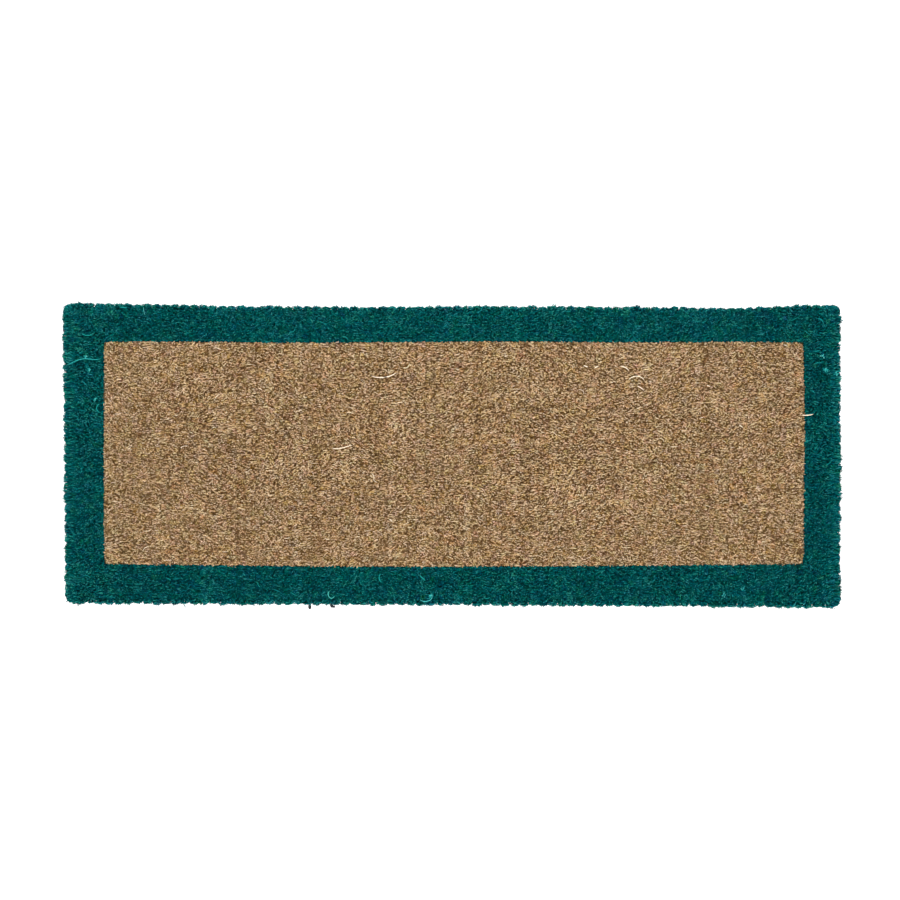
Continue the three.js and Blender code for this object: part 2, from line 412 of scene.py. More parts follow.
# ---- the handmade outline: how far each line strays from straight, in millimetres ----
def wander(share, stations):
    """A smooth curve close to evenly spaced offsets along a line."""
    steps = 240
    reach = 15  # steps to each side over which the curve is evened out
    spots = np.linspace(0, 1, len(stations))
    fine = np.linspace(0, 1, steps + 1)
    values = np.interp(fine, spots, stations)
    kernel = np.hanning(2 * reach + 1)
    padded = np.pad(values, reach, mode="edge")
    smooth = np.convolve(padded, kernel / kernel.sum(), mode="valid")
    return np.interp(share, fine, smooth) * MM


# the lines along Y stray towards +X, and are given from their front ends to their back ends
STRAY_X = (
    (1, 0, -0.5, -1.5, -3),  # the mat's left edge
    (0.5, 0, -0.5, 0, 0.5),  # the field's left side
    (-1.5, 0.5, 1, 2.3, 1, -3),  # the field's right side
    (0.5, 0, 1, 0, -0.5, 1),  # the mat's right edge
)
# the lines along X stray towards +Y, and are given from their left ends to their right ends
STRAY_Y = (
    (2.5, 1.5, 0.5, 0, -1, -2, -3, -4.5),  # the mat's front edge
    (2.5, 0.5, -1.5, -2.5, -2, -1, 0.5, 2.5),  # the field's front side
    (0, 1, -1, 0, 1, -0.5, 0.5, -1),  # the field's back side
    (4.5, 2, -0.5, -1.5, -1, -0.5, -1.5, -3, 3),  # the mat's back edge
)


def drift(points):
    """Points of the ideal mat moved to where they lie on the handmade one."""
    share = (points[..., :2] + MAT_HALF) / (2 * MAT_HALF)
    moved = points.copy()
    for axis, lines in enumerate((STRAY_X, STRAY_Y)):
        offsets = [wander(share[..., 1 - axis], line) for line in lines]
        moved[..., axis] += between(points[..., axis], LEVELS[:, axis], offsets)
    return moved


def between(value, levels, offsets):
    """The offset at value, blended linearly between the offsets that hold at each level."""
    total = np.zeros_like(value)
    last = len(levels) - 1
    for number, (level, offset) in enumerate(zip(levels, offsets)):
        weight = np.ones_like(value)
        if number > 0:
            below = levels[number - 1]
            weight = np.minimum(weight, (value - below) / (level - below))
        if number < last:
            above = levels[number + 1]
            weight = np.minimum(weight, (above - value) / (above - level))
        total += np.clip(weight, 0, 1) * offset
    return total


# ---- tufts ----
def cuts(levels, counts):
    """Where one tuft ends and the next begins, in the three zones between four levels."""
    zones = zip(levels[:-1], levels[1:], counts)
    edges = [np.linspace(start, end, count + 1)[:-1] for start, end, count in zones]
    return np.concatenate(edges + [levels[-1:]])


X_CUTS = cuts(X_LEVELS, ROWS)
Y_CUTS = cuts(Y_LEVELS, COLUMNS)
ROW_TONE = rng.normal(0, ROW_TONE_SPREAD, len(X_CUTS) - 1)
ROW_DIP = rng.normal(0, ROW_DIP_SPREAD, len(X_CUTS) - 1)


def tufts_of(rows, columns):
    """The tufts of those rows and columns: each one's cell, root and row, which way it faces outwards if
    it stands on the outline, and the limits of its colour."""
    i, j = (a.ravel() for a in np.meshgrid(rows, columns, indexing="ij"))
    low = np.stack([X_CUTS[i], Y_CUTS[j]], axis=-1)
    high = np.stack([X_CUTS[i + 1], Y_CUTS[j + 1]], axis=-1)
    reach = np.array([CHAIN_HIGH.x, WEFT_HIGH.y]) - 2 * MM
    root = np.clip((low + high) / 2, -reach, reach)
    outward = np.zeros_like(root)
    outward[i == 0, 0] = -1
    outward[i == len(X_CUTS) - 2, 0] = 1
    outward[j == 0, 1] = -1
    outward[j == len(Y_CUTS) - 2, 1] = 1
    tufts = {"low": low, "high": high, "root": root, "row": i, "outward": outward}
    tufts["in_field"], tufts["colour_low"], tufts["colour_high"] = colour_limits(i, j)
    return tufts


def colour_limits(i, j):
    """Which tufts are in the field, and the lowest and highest place that each one's colour reaches. A
    border tuft beside the field reaches up to the field's side."""
    place = np.stack([i, j], axis=-1)
    first = np.array([ROWS[0], COLUMNS[0]])
    past = first + np.array([ROWS[1], COLUMNS[1]])
    within = (place >= first) & (place < past)
    in_field = within.all(axis=1)
    low = np.where(in_field[:, None], FIELD_BOX[0], -FAR)
    high = np.where(in_field[:, None], FIELD_BOX[1], FAR)
    beside = within[:, ::-1]
    low = np.where(beside & (place >= past), FIELD_BOX[1], low)
    high = np.where(beside & (place < first), FIELD_BOX[0], high)
    return in_field, low, high


def scalloped(tips, place, outward, bulge):
    """Tips of outer tufts, pushed out by each tuft's bulge and drawn in again towards its two ends."""
    inset = SCALLOP * np.abs(place[:, ::-1]) ** 3 - bulge[:, None]
    near = np.clip(place * outward, 0, 1)
    return tips - outward * inset * near


def round_corners(points, low, high):
    """Points outside the round corners of a rectangle, pulled in to the corner's arc."""
    middle = (low + high) / 2
    centre = (high - low) / 2 - CORNER_RADIUS
    side = np.sign(points[:, :2] - middle)
    beyond = np.abs(points[:, :2] - middle) - centre
    at_corner = (beyond > 0).all(axis=1)
    reach = np.linalg.norm(beyond, axis=1)
    limit = CORNER_RADIUS * (1 - 0.25 * rng.random(len(points)) ** 2)
    pull = np.where(at_corner & (reach > limit), limit / np.maximum(reach, 1e-9), 1)[:, None]
    points[:, :2] = np.where(at_corner[:, None], middle + side * (centre + beyond * pull), points[:, :2])
    return points


def flow(places):
    """The way the fibre lies at some places: along X, but turned a little, as brushing leaves it."""
    x, y = places[:, 0] / MM, places[:, 1] / MM
    angle = 0.35 * np.sin(x / 61 + 1.9 * np.sin(y / 83)) + 0.3 * np.sin(x / 37 - y / 45 + 2)
    return np.stack([np.cos(angle), np.sin(angle)], axis=-1)


def clumps_of(middle):
    """The clumps of fibre of some tufts. Each has its own spot in its tuft's top, -1 to 1, its own lean,
    tone and depth."""
    count = len(middle)
    tuft = np.repeat(np.arange(count), CLUMPS)
    total = len(tuft)
    index = np.tile(np.arange(CLUMPS), count)
    spot = np.stack([index % CLUMP_GRID[0], index // CLUMP_GRID[0]], axis=-1)
    place = 2 * (spot + rng.random((total, 2))) / CLUMP_GRID - 1
    tuft_lean = rng.normal(0, 1, (count, 2)) * TUFT_LEAN
    along = flow(middle)[tuft]
    across = along[:, ::-1] * np.array([-1, 1])
    lean = tuft_lean[tuft] + along * rng.normal(0, CLUMP_LEAN, (total, 1))
    lean += across * rng.normal(0, CLUMP_SPLAY, (total, 1))
    tone = TONE + rng.normal(0, CLUMP_TONE_SPREAD, total) + rng.normal(0, TUFT_TONE_SPREAD, count)[tuft]
    dip = rng.gamma(1.2, TIP_DIP, total)
    dark = rng.random(total) < DARK_SHARE
    tone[dark] -= rng.uniform(*DARKENING, dark.sum())
    dip[dark] += rng.uniform(*DARK_DIP, dark.sum())
    return {"tuft": tuft, "place": place, "lean": lean, "tone": tone, "dip": dip}


def top_strands(tufts, middle, bulge):
    """The strands that fill the tufts' tops: each one's tuft, tip, height, lean and tone. middle and
    bulge hold the middle of each tuft's cell and how far the tuft swells outwards."""
    clumps = clumps_of(middle)
    clump = np.repeat(np.arange(len(clumps["tuft"])), CLUMP_STRANDS)
    tuft = clumps["tuft"][clump]
    place = clumps["place"][clump]
    size = (tufts["high"] - tufts["low"])[tuft]
    tips = middle[tuft] + place * (size + SPILL) / 2
    tips = scalloped(tips, place, tufts["outward"][tuft], bulge[tuft])
    tips += rng.normal(0, 1, tips.shape) * TIP_STRAY
    at_low = np.abs(tufts["low"] - tufts["colour_low"]) < MM
    at_high = np.abs(tufts["high"] - tufts["colour_high"]) < MM
    near_line = at_low[tuft] * np.clip(-2 * place - 1, 0, 1)
    near_line += at_high[tuft] * np.clip(2 * place - 1, 0, 1)
    tips += rng.normal(0, LINE_MIX, tips.shape) * near_line
    lean = clumps["lean"][clump] + rng.normal(0, 1, tips.shape) * STRAND_LEAN
    row = tufts["row"][tuft]
    dip = clumps["dip"][clump] + rng.exponential(TIP_DIP, len(clump)) + ROW_DIP[row]
    dip += FURROW * np.abs(place[:, 0]) ** 4
    height = MAT_TOP + TIP_RISE - np.minimum(dip, DEEPEST_TIP)
    tone = clumps["tone"][clump] + rng.normal(0, STRAND_TONE_SPREAD, len(clump)) + ROW_TONE[row]
    pale = rng.random(len(clump)) < PALE_SHARE
    tone[pale] += rng.uniform(*PALING, pale.sum())
    return {"tuft": tuft, "tip": tips, "height": height, "lean": lean, "tone": tone}


def face_strands(tufts, middle, bulge):
    """Shorter strands that fill the outer faces of the outer tufts and end on the outline. A corner tuft
    has two such faces, and an inner tuft has none."""
    faces = np.abs(tufts["outward"]).sum(axis=1).astype(int)
    strands = np.array([0, FACE_STRANDS, CORNER_SHARE * FACE_STRANDS])[faces]
    tuft = np.repeat(np.arange(len(middle)), strands)
    total = len(tuft)
    size = (tufts["high"] - tufts["low"])[tuft]
    outward = tufts["outward"][tuft]
    place = rng.uniform(-1, 1, (total, 2))
    either = rng.random(total) < 0.5
    on_x_face = (outward[:, 0] != 0) & ((outward[:, 1] == 0) | either)
    on_face = np.stack([on_x_face, ~on_x_face], axis=-1)
    depth = rng.uniform(0.75, 1, (total, 1))
    place = np.where(on_face, outward * depth, place)
    tips = scalloped(middle[tuft] + place * size / 2, place, outward, bulge[tuft])
    tips += rng.normal(0, 0.5 * MM, tips.shape)
    height = rng.uniform(PILE_BOTTOM + 4 * MM, MAT_TOP - 1 * MM, total)
    lean = rng.normal(0, FACE_LEAN, tips.shape) + outward * FACE_OVERHANG
    # painted shade: the outer faces' fibre is painted darker than the tops'
    tone = FACE_SHADE_TONE + rng.normal(0, 0.17, total)
    return {"tuft": tuft, "tip": tips, "height": height, "lean": lean, "tone": tone}


def strand_paths(tufts, strands):
    """Each strand's path: from its tuft's root up to a bend, and on to its tip."""
    tuft = strands["tuft"]
    total = len(tuft)
    root = np.empty((total, 3))
    root[:, :2] = tufts["root"][tuft] + rng.normal(0, ROOT_SPREAD, (total, 2))
    root[:, 2] = PILE_BOTTOM - ROOT_SINK
    tip = np.column_stack([kept_in_colour(strands["tip"], tufts, tuft), strands["height"]])
    tip = round_corners(tip, -MAT_HALF, MAT_HALF)
    if tufts["in_field"].all():
        tip = round_corners(tip, *FIELD_BOX)
    stretch = rng.uniform(0.75, 1.25, total)[:, None]
    bend = np.empty((total, 3))
    bend[:, :2] = tip[:, :2] - strands["lean"] * stretch
    pull = rng.random(total)[:, None] * ROOT_PULL
    bend[:, :2] += (root[:, :2] - bend[:, :2]) * pull
    bend[:, :2] = kept_in_colour(bend[:, :2], tufts, tuft)
    drop = rng.uniform(*BEND_DEPTH, total)
    bend[:, 2] = np.maximum(tip[:, 2] - drop, PILE_BOTTOM)
    return np.stack([root, bend, tip], axis=1)


def strand_colour(strands, paths, middle, top_count):
    """Each strand's tone along its path, darkened with depth by painted shade and lightened near the
    outline by a painted
    highlight, and its hue and purity: those of its quarter of its tuft, and a little of its own. The first
    top_count strands are the tops', which get more painted shade than the faces'."""
    tuft = strands["tuft"]
    tips = paths[:, -1, :2]
    # painted shade: fibre is painted darker the further it lies below the mat's top
    painted_shade = np.clip((MAT_TOP - paths[..., 2]) / PAINTED_SHADE_DEPTH, 0, 1)
    # the faces' strands get half as much painted shade
    painted_shade[top_count:] *= 0.5
    to_outline = (MAT_HALF - np.abs(tips)).min(axis=1)
    # painted highlight: the fibre is painted lighter close to the outline
    tone = strands["tone"] + EDGE_HIGHLIGHT * np.exp(-np.maximum(to_outline, 0) / EDGE_HIGHLIGHT_FADE)
    colour = {"tone": np.clip(tone[:, None] - PAINTED_SHADE * painted_shade, 0.0, 1.0)}
    half = (tips > middle[tuft]).astype(int)
    for key in ("hue", "purity"):
        patch = rng.normal(0, 1, (len(middle), 2, 2))
        own = rng.normal(0, 0.7, len(paths))
        colour[key] = (0.8 * patch[tuft, half[:, 0], half[:, 1]] + own)[:, None]
    return colour


def brush(tufts):
    """The strands of those tufts: their paths, their radii along them and their colour attributes."""
    size = tufts["high"] - tufts["low"]
    middle = (tufts["high"] + tufts["low"]) / 2
    bulge = np.maximum(rng.normal(BULGE, BULGE_SPREAD, len(middle)), LEAST_BULGE)
    tops = top_strands(tufts, middle, bulge)
    strands = joined(tops, face_strands(tufts, middle, bulge))
    paths = strand_paths(tufts, strands)
    thick = STRAND_RADIUS * rng.lognormal(0, THICKNESS_SPREAD, len(paths))
    colour = strand_colour(strands, paths, middle, len(tops["tuft"]))
    tuft = strands["tuft"]
    place = np.clip(2 * (paths[:, -1, :2] - middle[tuft]) / size[tuft], -1, 1)
    return drift(kept_inside(paths, place)), thick[:, None] * STRAND_TAPER, colour


def kept_in_colour(tips, tufts, tuft):
    """Tips held to their own side of the line between border and field, give or take a hair."""
    hair = rng.normal(0.1 * MM, LINE_MIX, tips.shape)
    low = tufts["colour_low"][tuft] - hair
    high = tufts["colour_high"][tuft] + hair
    return np.clip(tips, low, high)


def kept_inside(paths, place):
    """No point of a strand strays past the mat's scalloped outline by more than a hair. place is where the
    strand's tip stands in its tuft, -1 to 1."""
    hair = 0.3 * MM + rng.gamma(1.5, 0.9 * MM, (len(paths), 1))
    limit = (MAT_HALF + hair - OUTLINE_SCALLOP * np.abs(place[:, ::-1]) ** 3)[:, None]
    paths[..., :2] = np.clip(paths[..., :2], -limit, limit)
    return paths


# ---- the packed fibre below the tips, its dark tone painted shade ----
CORE_SIDES = 8
CORE_DEPTH = 7.5 * MM  # how far below the tips the packed fibres close up
CORE_OVERLAP = 0.9 * MM  # how far a bundle reaches into its neighbours
CORE_INSET = 2.4 * MM  # how far an outer bundle is moved in from the outline
CORE_NARROWING = 1.8 * MM  # and how much narrower each half of it is
CORE_SHADE_TONE = (0.06, 0.02)  # painted shade: the packed fibre is real, and its very dark tone stands for the shade deep in the pile; its middle and its spread


def core_mesh(name, tufts):
    """One closed bundle for each tuft, narrow at its root and as wide as its cell under the tips."""
    count = len(tufts["row"])
    middle = (tufts["low"] + tufts["high"]) / 2 - tufts["outward"] * CORE_INSET
    half = (tufts["high"] - tufts["low"]) / 2 + CORE_OVERLAP - np.abs(tufts["outward"]) * CORE_NARROWING
    turn = 2 * math.pi * np.arange(CORE_SIDES) / CORE_SIDES
    square = np.stack([np.cos(turn), np.sin(turn)], axis=-1)
    square /= np.abs(square).max(axis=1, keepdims=True)
    top = MAT_TOP - CORE_DEPTH + rng.normal(0, 0.4 * MM, count)
    levels = [  # height, share of the cell's width, share of the way from the root's place to the cell's
        (np.full(count, PILE_BOTTOM - 2 * MM), 0.35, 0.0),
        (np.full(count, 0.5 * (PILE_BOTTOM + MAT_TOP)), 0.75, 0.6),
        (top - 1.5 * MM, 1.0, 1.0),
        (top, 0.55, 1.0),
    ]
    layers = []
    for height, width, way in levels:
        centre = tufts["root"] + (middle - tufts["root"]) * way
        rough = rng.normal(1, 0.03, (count, CORE_SIDES, 1))
        flat = centre[:, None] + square[None] * half[:, None] * width * rough
        up = np.broadcast_to(height[:, None, None], (count, CORE_SIDES, 1))
        layers.append(np.concatenate([flat, up], axis=-1))
    points = drift(np.concatenate(layers, axis=1))
    # painted shade: the bundles get a very dark tone
    return cell_mesh(name, points, len(levels), CORE_SIDES, CORE_SHADE_TONE)


# ---- the pieces of the brush ----
def add_brush(name, rows, columns, material, slot, node):
    """Adds the strands of the tufts of those rows and columns as one piece."""
    paths, radii, colour = brush(tufts_of(rows, columns))
    add_piece(strand_mesh(name, paths, radii, colour), material, slot, node)


ALL_ROWS = np.arange(sum(ROWS))
LEFT_ROWS, FIELD_ROWS, RIGHT_ROWS = np.split(ALL_ROWS, np.cumsum(ROWS)[:-1])
FRONT_COLUMNS, FIELD_COLUMNS, BACK_COLUMNS = np.split(np.arange(sum(COLUMNS)), np.cumsum(COLUMNS)[:-1])
BORDER_NODES = [f"border_pile_{side}" for side in ("left", "right", "front", "back")]
BORDER_CUTS = (1, 3)  # where a long border's columns are cut into pieces, counted from the outline

for number, strip in enumerate(np.array_split(FIELD_COLUMNS, FIELD_STRIPS), start=1):
    add_brush(f"field_brush_{number:02d}", FIELD_ROWS, strip, NATURAL, "natural_coir", "field_pile")
add_brush("border_brush_left", LEFT_ROWS, FIELD_COLUMNS, DYED, "dyed_coir", "border_pile_left")
add_brush("border_brush_right", RIGHT_ROWS, FIELD_COLUMNS, DYED, "dyed_coir", "border_pile_right")
for side, columns in (("front", FRONT_COLUMNS), ("back", BACK_COLUMNS[::-1])):
    node = f"border_pile_{side}"
    for number, strip in enumerate(np.split(columns, BORDER_CUTS), start=1):
        add_brush(f"border_brush_{side}_{number}", ALL_ROWS, strip, DYED, "dyed_coir", node)

FIELD_TUFTS = tufts_of(FIELD_ROWS, FIELD_COLUMNS)
BORDER_TUFTS = joined(
    tufts_of(ALL_ROWS, np.concatenate([FRONT_COLUMNS, BACK_COLUMNS])),
    tufts_of(np.concatenate([LEFT_ROWS, RIGHT_ROWS]), FIELD_COLUMNS),
)
add_piece(core_mesh("field_tuft_cores", FIELD_TUFTS), NATURAL, "natural_coir", "field_pile")
add_piece(core_mesh("border_tuft_cores", BORDER_TUFTS), DYED, "dyed_coir", *BORDER_NODES)


# ---- the loops of fibre that carry each tuft round its chain, seen from below ----
CHAIN_Y = np.array([(low.y + high.y) / 2 for low, high in (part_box(name) for name in CHAIN_NAMES)])
LOOP_STRANDS = 3  # loops to a tuft, side by side along its chain
LOOP_SPACING = 2.2 * MM
LOOP_RADIUS = 1.25 * MM
LOOP_REACH = 4.3 * MM  # from the chain's middle out to the side of a loop
LOOP_BOTTOM = 1.7 * MM
LOOP_SHAPE = [(-0.9, 1.0), (-1.0, 0.45), (0.0, 0.0), (1.0, 0.45), (0.9, 1.0)]  # shares across and up
LOOP_TONE = (0.36, 0.12)


def chain_of(y):
    """The Y of the chain that a tuft at y goes round."""
    return CHAIN_Y[np.abs(np.asarray(y)[..., None] - CHAIN_Y).argmin(axis=-1)]


def loop_mesh(name, tufts):
    """All the loops of some tufts."""
    count = len(tufts["row"])
    strand = np.tile(np.arange(LOOP_STRANDS), count)
    tuft = np.repeat(np.arange(count), LOOP_STRANDS)
    loops = len(tuft)
    steps = len(LOOP_SHAPE)
    x = tufts["root"][tuft, 0] + (strand - 1) * LOOP_SPACING + rng.normal(0, 0.3 * MM, loops)
    y = chain_of(tufts["root"][:, 1])[tuft]
    reach = LOOP_REACH + rng.normal(0, 0.3 * MM, loops)
    low = LOOP_BOTTOM + np.abs(rng.normal(0, 0.25 * MM, loops))
    paths = np.empty((loops, steps, 3))
    for step, (across, up) in enumerate(LOOP_SHAPE):
        paths[:, step, 0] = x
        paths[:, step, 1] = y + across * reach
        paths[:, step, 2] = low + up * (GROUND_TOP + 2 * MM - low)
    radii = np.full(paths.shape[:2], LOOP_RADIUS)
    turn = np.broadcast_to(rng.uniform(0, 2 * math.pi, (loops, 1)), radii.shape)
    section = rings(paths, radii, STRAND_SIDES, turn, np.array([1.0, 0.0, 0.0]))
    points = drift(section.reshape(loops, -1, 3))
    return cell_mesh(name, points, steps, STRAND_SIDES, LOOP_TONE)


add_piece(loop_mesh("field_tuft_loops", FIELD_TUFTS), NATURAL, "natural_coir", "field_pile")
add_piece(loop_mesh("border_tuft_loops", BORDER_TUFTS), DYED, "dyed_coir", *BORDER_NODES)


# ---- the woven ground: two-ply chains along the mat, and one weft yarn back and forth across them ----
PICKS = X_CUTS[1:-1][np.abs(X_CUTS[1:-1]) < CHAIN_HIGH.x - 2 * MM]  # where the weft crosses the chains
PICK_HALF = (PICKS[1] - PICKS[0]) / 2
GROUND_MIDDLE = (CHAIN_LOW.z + WEFT_HIGH.z) / 2
SWING = (CHAIN_HIGH.z - CHAIN_LOW.z) / 2
WAVE = 0.95 * SWING  # how far a chain and the weft rise and fall from the ground's middle
PLY_WAVE = 0.45 * SWING  # and a ply from its chain's middle
PLY_RADIUS = (CHAIN_HIGH.y - CHAIN_LOW.y) / 4
CHAIN_TWIST = 15 * MM  # of its plies, for one turn
CHAIN_STEP = 2.5 * MM
CHAINS_PER_PIECE = 7
WEFT_TWIST = 12 * MM
WEFT_STEP = 3 * MM
WEFT_RADIUS = 1.9 * MM


def over_under(pick, chain):
    """1 where the chain passes over the pick, -1 where it passes under, and smooth between."""
    return np.cos(math.pi * (pick + chain))


def chain_paths(chains):
    """Both plies of some chains."""
    steps = round((CHAIN_HIGH.x - CHAIN_LOW.x) / CHAIN_STEP)
    x = np.linspace(CHAIN_LOW.x, CHAIN_HIGH.x, steps)
    pick = np.interp(x, PICKS, np.arange(len(PICKS)))
    paths = []
    for chain in chains:
        twist = 2 * math.pi * (x / CHAIN_TWIST + rng.random())
        stray = rng.normal(0, 0.3 * MM) * np.sin(x / (110 * MM) + rng.uniform(0, 6))
        for ply in (0, math.pi):
            y = CHAIN_Y[chain] + stray + PLY_RADIUS * np.cos(twist + ply)
            z = GROUND_MIDDLE + WAVE * over_under(pick, chain) + PLY_WAVE * np.sin(twist + ply)
            paths.append(np.stack([x, y, z], axis=-1))
    return np.stack(paths)


CHAINS = np.arange(len(CHAIN_NAMES)).reshape(-1, CHAINS_PER_PIECE)
for chains in CHAINS:
    paths = chain_paths(chains)
    radii = np.full(paths.shape[:2], PLY_RADIUS)
    tone = rng.uniform(0.3, 0.6, len(paths))
    label = f"warp_chains_{chains[0] + 1:02d}_to_{chains[-1] + 1:02d}"
    mesh = tube_mesh(label, drift(paths), radii, 5, tone, flatten=0.62)
    add_piece(mesh, GROUND, "ground_yarn", *(CHAIN_NAMES[chain] for chain in chains))


def weft_path():
    """The weft's centre line: a pick between each two rows of tufts, turning back at alternate edges."""
    reach = (WEFT_HIGH.y - WEFT_LOW.y) / 2 - 2.5 * MM - PICK_HALF
    points = []
    for number, x in enumerate(PICKS):
        heading = 1 if number % 2 == 0 else -1
        y = heading * np.arange(-reach, reach, WEFT_STEP)
        chain = np.interp(y, CHAIN_Y, np.arange(len(CHAIN_Y)))
        z = GROUND_MIDDLE - WAVE * over_under(number, chain)
        points += list(np.stack([np.full_like(y, x), y, z], axis=-1))
        if number < len(PICKS) - 1:
            radius = (PICKS[number + 1] - x) / 2
            for turn in np.linspace(0.12, 0.88, 5) * math.pi:
                turn_x = x + radius - radius * math.cos(turn)
                turn_y = heading * (reach + PICK_HALF * math.sin(turn))
                points.append(np.array([turn_x, turn_y, GROUND_MIDDLE]))
    return np.array(points)


path = weft_path()[None]
length = np.concatenate([[0], np.cumsum(np.linalg.norm(np.diff(path[0], axis=0), axis=1))])
turn = (2 * math.pi * length / WEFT_TWIST)[None]
radii = np.full(path.shape[:2], WEFT_RADIUS)
mesh = tube_mesh("weft_yarn_twisted", drift(path), radii, 6, np.array([0.4]), 1.0, turn, 0.22, folds=40)
add_piece(mesh, GROUND, "ground_yarn", "weft_yarn")


# ---- the plaited bindings and their sewing twine ----
PLAIT_PITCH = 26 * MM
PLAIT_STEPS = 12  # to a pitch
PLAIT_STRANDS = 3
PLAIT_RADIUS = 2.6 * MM
PLAIT_SWAY = 3.4 * MM  # of a strand to each side of the plait's middle
PLAIT_TWIST = 11 * MM  # of a strand, for one turn
STITCH = 15 * MM  # from one stitch to the next
STITCH_STEPS = 10  # to a stitch
STITCH_SWAY = 4.5 * MM
TWINE_RADIUS = 0.8 * MM
UP = np.array([0, 0, 1])
OUTWARD = {"left": (-1, 0, 0), "right": (1, 0, 0), "front": (0, -1, 0), "back": (0, 1, 0)}


def edge_length(node):
    """How long an edge piece is."""
    low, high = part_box(node)
    return max(high - low)


def edge_path(side, node, spots, out, up):
    """A path at some spots along an edge piece, out from its middle line and up from the floor."""
    low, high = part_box(node)
    outward = np.array(OUTWARD[side])
    along = np.abs(outward[[1, 0, 2]])
    start = np.where(along, np.array(low), np.array((low + high) / 2)) * (1, 1, 0)
    return start + spots[:, None] * along + out[:, None] * outward + up[:, None] * UP


def braid_mesh(side):
    """A flat plait of three twisted strands."""
    node = f"edge_braid_{side}"
    length = edge_length(node)
    low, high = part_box(node)
    rise = (high.z - low.z) / 2 - PLAIT_RADIUS
    steps = round(length / PLAIT_PITCH * PLAIT_STEPS)
    spots = np.linspace(0.5 * MM, length - 0.5 * MM, steps)
    paths = []
    for strand in range(PLAIT_STRANDS):
        phase = 2 * math.pi * (spots / PLAIT_PITCH + strand / PLAIT_STRANDS)
        out = PLAIT_SWAY * np.sin(phase) - 0.6 * MM
        up = (low.z + high.z) / 2 + 0.25 * MM + rise * np.sin(2 * phase)
        paths.append(edge_path(side, node, spots, out, up))
    paths = np.stack(paths)
    radii = np.full(paths.shape[:2], PLAIT_RADIUS)
    turn = np.broadcast_to(2 * math.pi * spots / PLAIT_TWIST, radii.shape)
    tone = rng.uniform(0.35, 0.6, PLAIT_STRANDS)
    return tube_mesh(node + "_plait", drift(paths), radii, 8, tone, 0.96, turn, 0.1)


def seam_mesh(side):
    """Overcast stitches: the twine climbs over the binding's inner half and dives through the ground."""
    node = f"edge_seam_{side}"
    length = edge_length(node)
    low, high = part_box(f"edge_braid_{side}")
    steps = round(length / STITCH * STITCH_STEPS)
    spots = np.linspace(TWINE_RADIUS, length - TWINE_RADIUS, steps)
    phase = 2 * math.pi * spots / STITCH
    out = 2.5 * MM + STITCH_SWAY * np.cos(phase)
    up = (low.z + high.z) / 2 + ((high.z - low.z) / 2 - TWINE_RADIUS - 0.1 * MM) * np.sin(phase)
    path = edge_path(side, node, spots, out, up)
    radii = np.full((1, steps), TWINE_RADIUS)
    return tube_mesh(node + "_twine", drift(path[None]), radii, 5, np.array([0.5]))


for side in OUTWARD:
    add_piece(braid_mesh(side), BRAID, "edge_braid", f"edge_braid_{side}")
    add_piece(seam_mesh(side), TWINE, "sewing_twine", f"edge_seam_{side}")


# ---- loose fibres that lie on the brush ----
LOOSE_STEPS = 9
LOOSE_RISE = 1.2 * MM  # how far over the mat's top a loose fibre lies
LOOSE_DIVE = 3 * MM  # and how far down its two ends go
FRINGE = 5 * MM  # how far from an area's edge a short fibre starts


def on_top(routes):
    """Smooth curves through a few places on the mat, in millimetres. Both ends dive into the brush."""
    share = np.linspace(0, 1, LOOSE_STEPS)
    paths = np.empty((len(routes), LOOSE_STEPS, 3))
    for path, route in zip(paths, routes):
        route = np.array(route, dtype=float) * MM
        reach = np.concatenate([[0], np.cumsum(np.linalg.norm(np.diff(route, axis=0), axis=1))])
        for axis in (0, 1):
            curve = np.polyfit(reach / reach[-1], route[:, axis], len(route) - 1)
            path[:, axis] = np.polyval(curve, share)
        path[:, 2] = MAT_TOP + LOOSE_RISE - LOOSE_DIVE * (2 * share - 1) ** 6
    return paths


def strewn(x_range, y_range, count):
    """Short curved routes, mostly along X, that start at random places in an area."""
    routes = []
    for _ in range(count):
        x = rng.uniform(x_range[0] + FRINGE, x_range[1] - 4 * FRINGE)  # they run on towards +X
        y = rng.uniform(*y_range)
        start = np.array([x, y]) / MM
        heading = rng.normal(0, 0.45)
        bow = rng.normal(0, 0.5)
        length = rng.uniform(5, 15)
        middle = start + length / 2 * np.array([math.cos(heading), math.sin(heading)])
        end = middle + length / 2 * np.array([math.cos(heading + bow), math.sin(heading + bow)])
        routes.append([start, middle, end])
    return routes


def sprig(x, y, count, reach):
    """Short routes that fan out from one place: a pale spot at a tuft's tip."""
    routes = []
    for _ in range(count):
        angle = rng.uniform(0, 2 * math.pi)
        start = np.array([x, y]) + rng.normal(0, 0.8, 2)
        routes.append([start, start + reach * np.array([math.cos(angle), math.sin(angle)])])
    return routes


def loose_mesh(name, groups):
    """Loose fibres of a few kinds. Each kind has its routes, its thickness and its range of tones."""
    paths, radii, tones, hues = [], [], [], []
    taper = np.sin(np.linspace(0.35, 2.8, LOOSE_STEPS)) ** 0.4
    for routes, thick, tone in groups:
        paths.append(on_top(routes))
        radii.append(thick * rng.lognormal(0, 0.12, (len(routes), 1)) * taper)
        tones.append(rng.uniform(*tone, (len(routes), 1)))
        hues.append(rng.normal(0, 1, (len(routes), 1)))
    colour = {"tone": np.concatenate(tones), "hue": np.concatenate(hues)}
    return strand_mesh(name, np.concatenate(paths), np.concatenate(radii), colour)


